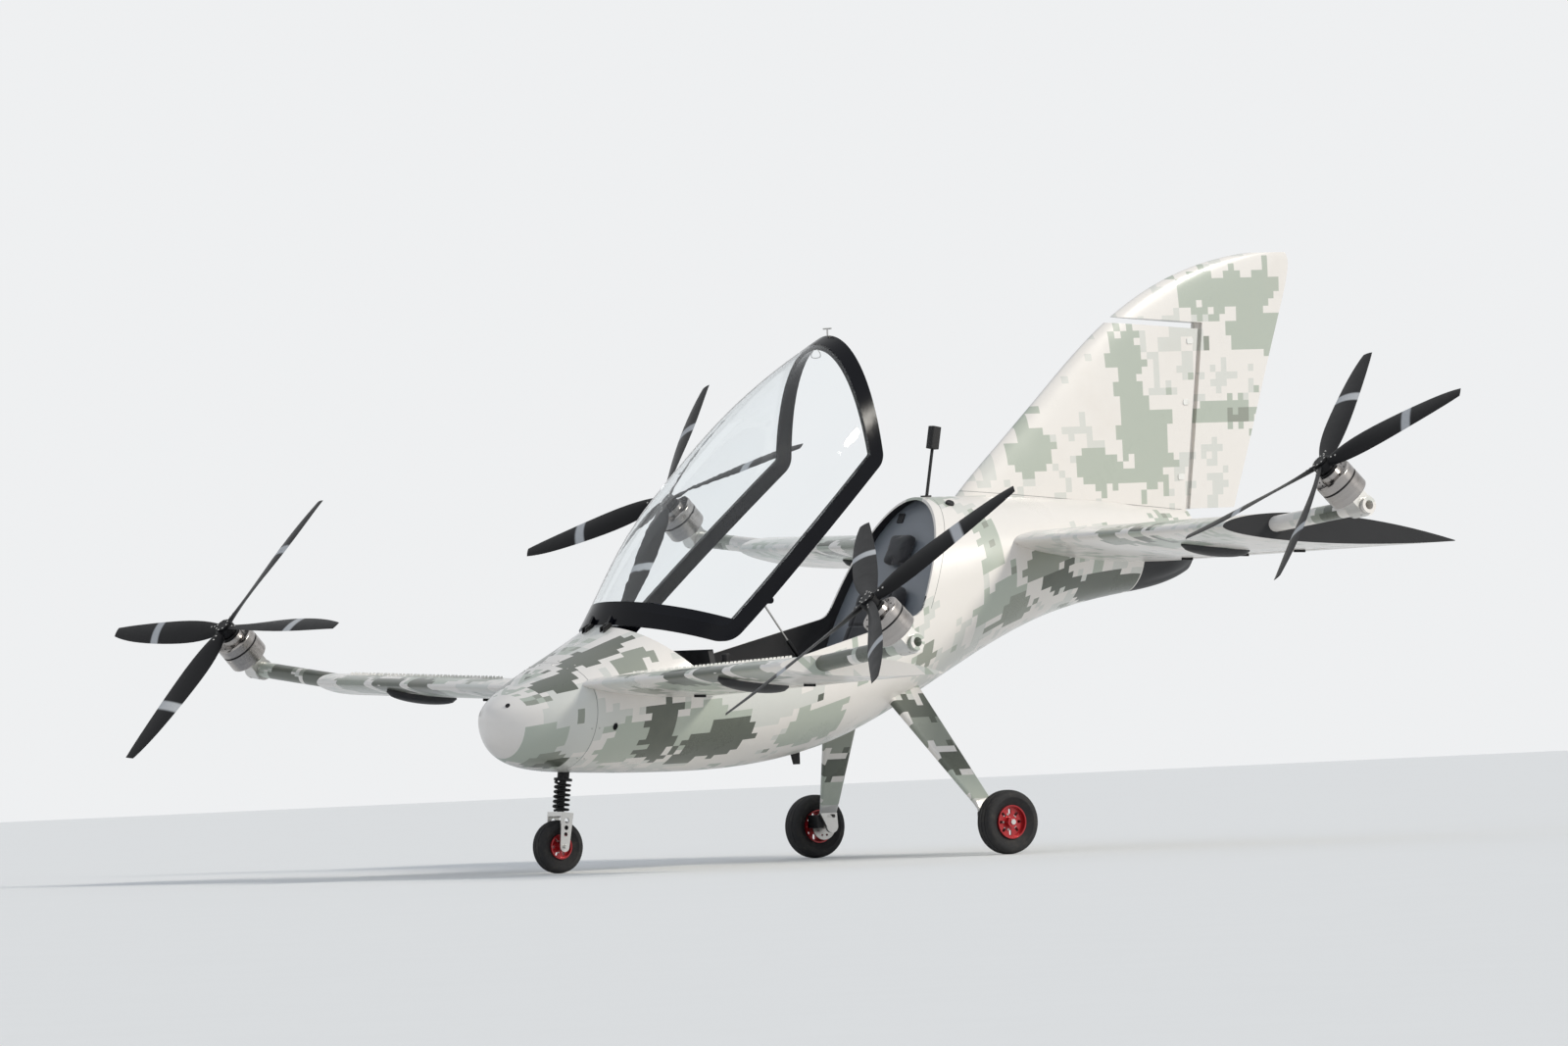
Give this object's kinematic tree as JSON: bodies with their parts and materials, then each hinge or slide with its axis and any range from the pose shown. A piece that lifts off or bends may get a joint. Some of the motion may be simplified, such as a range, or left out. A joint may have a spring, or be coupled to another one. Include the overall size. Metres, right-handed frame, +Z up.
{
  "type": "single-seat electric multirotor aircraft",
  "caption": "Single-seat tandem-wing electric aircraft with tilted propellers on arms past the wing tips, a tall fin, a forward-hinged canopy and fixed tricycle gear.",
  "frame": {"origin": "on the ground under the middle of the aircraft's bounding box", "axes": "+X to the aircraft's left, +Y aft from nose to tail, +Z up"},
  "size_m": [6.5658, 4.6316, 2.605],
  "materials": {
    "painted_skin": "satin",
    "dark_vent": "satin",
    "canopy_edge": "gloss",
    "canopy_clear": "gloss",
    "painted_tube": "satin",
    "motor_metal": "polished",
    "black_anodised": "satin",
    "blade_black": "satin",
    "battery_case": "matte",
    "cabin_grey": "satin",
    "seat_cover": "matte",
    "headrest_cover": "satin",
    "panel_black": "matte",
    "leg_paint": "satin",
    "bare_aluminium": "satin",
    "steel": "satin",
    "spring_steel": "satin",
    "tyre_rubber": "matte",
    "rim_red": "gloss",
    "aerial_black": "satin"
  },
  "bodies": {
    "airframe": {"batteries": "battery_case", "belly_aerial": "aerial_black", "brake_calipers": "bare_aluminium", "canopy_hinge": "black_anodised", "cockpit_bulkhead": "cabin_grey", "control_stick": "panel_black", "fin": "painted_skin", "front_arm_left": "painted_tube", "front_arm_right": "painted_tube", "front_motor_left": "motor_metal", "front_motor_mounts": "black_anodised", "front_motor_right": "motor_metal", "front_wing_left": "painted_skin", "front_wing_right": "painted_skin", "fuselage": "painted_skin", "headrest": "headrest_cover", "instrument_panel": "panel_black", "main_knuckle_left": "bare_aluminium", "main_knuckle_right": "bare_aluminium", "main_leg_left": "leg_paint", "main_leg_right": "leg_paint", "nose_cap": "painted_skin", "nose_spring": "spring_steel", "nose_strut": "bare_aluminium", "rear_arm_left": "painted_tube", "rear_arm_right": "painted_tube", "rear_motor_left": "motor_metal", "rear_motor_mounts": "black_anodised", "rear_motor_right": "motor_metal", "rear_wing_left": "painted_skin", "rear_wing_right": "painted_skin", "seat": "seat_cover", "sensor_mast": "aerial_black", "stay_sill_pin": "black_anodised", "tail_vent": "dark_vent"},
    "canopy": {"canopy_frame": "canopy_edge", "canopy_glass": "canopy_clear"},
    "stay_tube": {"stay_cylinder": "black_anodised"},
    "stay_piston": {"stay_rod": "steel"},
    "rudder": {"rudder": "painted_skin"},
    "front_flap_left": {"front_flap_left": "painted_skin"},
    "front_flap_right": {"front_flap_right": "painted_skin"},
    "rear_flap_left": {"rear_flap_left": "painted_skin"},
    "rear_flap_right": {"rear_flap_right": "painted_skin"},
    "front_propeller_left": {"front_propeller_left": "blade_black"},
    "rear_propeller_left": {"rear_propeller_left": "blade_black"},
    "front_propeller_right": {"front_propeller_right": "blade_black"},
    "rear_propeller_right": {"rear_propeller_right": "blade_black"},
    "nose_fork": {"nose_fork": "bare_aluminium"},
    "nose_wheel": {"nose_tyre": "tyre_rubber", "nose_rim": "rim_red"},
    "main_wheel_left": {"main_tyre_left": "tyre_rubber", "main_rim_left": "rim_red", "brake_disc_left": "steel"},
    "main_wheel_right": {"main_tyre_right": "tyre_rubber", "main_rim_right": "rim_red", "brake_disc_right": "steel"}
  },
  "joints": [
    {"name": "canopy_tilt", "type": "hinge", "parent": "airframe", "child": "canopy", "pos_m": [0, -1.453, 1.062], "axis": [1, 0, 0], "range_deg": [-27.5, 0]},
    {"name": "stay_swing", "type": "hinge", "parent": "airframe", "child": "stay_tube", "pos_m": [0.345, -0.513, 0.7], "axis": [1, 0, 0], "range_deg": [-0.2, 31.46]},
    {"name": "stay_slide", "type": "slide", "parent": "stay_tube", "child": "stay_piston", "axis": [0, -0.588, 0.8089], "range_m": [-0.1644, 0.001]},
    {"name": "rudder_turn", "type": "hinge", "parent": "airframe", "child": "rudder", "pos_m": [0, 1.688, 1.478], "axis": [0, 0.1208, 0.9927], "range_deg": [-25, 25]},
    {"name": "front_flap_left_turn", "type": "hinge", "parent": "airframe", "child": "front_flap_left", "pos_m": [0.48, -1.30397, 0.76806], "axis": [0.9994, 0, 0.0352], "range_deg": [-20, 20]},
    {"name": "front_flap_right_turn", "type": "hinge", "parent": "airframe", "child": "front_flap_right", "pos_m": [-0.48, -1.30397, 0.76806], "axis": [0.9994, 0, -0.0352], "range_deg": [-20, 20]},
    {"name": "rear_flap_left_turn", "type": "hinge", "parent": "airframe", "child": "rear_flap_left", "pos_m": [0.48, 1.30704, 1.29406], "axis": [0.9999, 0, 0.0144], "range_deg": [-20, 20]},
    {"name": "rear_flap_right_turn", "type": "hinge", "parent": "airframe", "child": "rear_flap_right", "pos_m": [-0.48, 1.30704, 1.29406], "axis": [0.9999, 0, -0.0144], "range_deg": [-20, 20]},
    {"name": "front_propeller_left_spin", "type": "hinge", "parent": "airframe", "child": "front_propeller_left", "pos_m": [2.55, -1.588, 0.932], "axis": [-0.0764, -0.6967, 0.7133], "continuous": true},
    {"name": "rear_propeller_left_spin", "type": "hinge", "parent": "airframe", "child": "rear_propeller_left", "pos_m": [2.55, 0.782, 1.44], "axis": [-0.0655, -0.6962, 0.7149], "continuous": true},
    {"name": "front_propeller_right_spin", "type": "hinge", "parent": "airframe", "child": "front_propeller_right", "pos_m": [-2.55, -1.588, 0.932], "axis": [0.0764, -0.6967, 0.7133], "continuous": true},
    {"name": "rear_propeller_right_spin", "type": "hinge", "parent": "airframe", "child": "rear_propeller_right", "pos_m": [-2.55, 0.782, 1.44], "axis": [0.0655, -0.6962, 0.7149], "continuous": true},
    {"name": "nose_steer", "type": "hinge", "parent": "airframe", "child": "nose_fork", "pos_m": [0, -1.71189, 0.115], "axis": [0, 0.1392, 0.9903], "range_deg": [-30, 30]},
    {"name": "nose_wheel_spin", "type": "hinge", "parent": "nose_fork", "child": "nose_wheel", "pos_m": [0, -1.71189, 0.115], "axis": [1, 0, 0], "continuous": true},
    {"name": "main_wheel_left_spin", "type": "hinge", "parent": "airframe", "child": "main_wheel_left", "pos_m": [0.744, 0.14, 0.14], "axis": [1, 0, 0], "continuous": true},
    {"name": "main_wheel_right_spin", "type": "hinge", "parent": "airframe", "child": "main_wheel_right", "pos_m": [-0.744, 0.14, 0.14], "axis": [1, 0, 0], "continuous": true}
  ],
  "couplings": [
    {"joint": "stay_swing", "follows": "canopy_tilt", "ratio": -1.1366},
    {"joint": "stay_slide", "follows": "canopy_tilt", "m_per_rad": 0.34042}
  ]
}
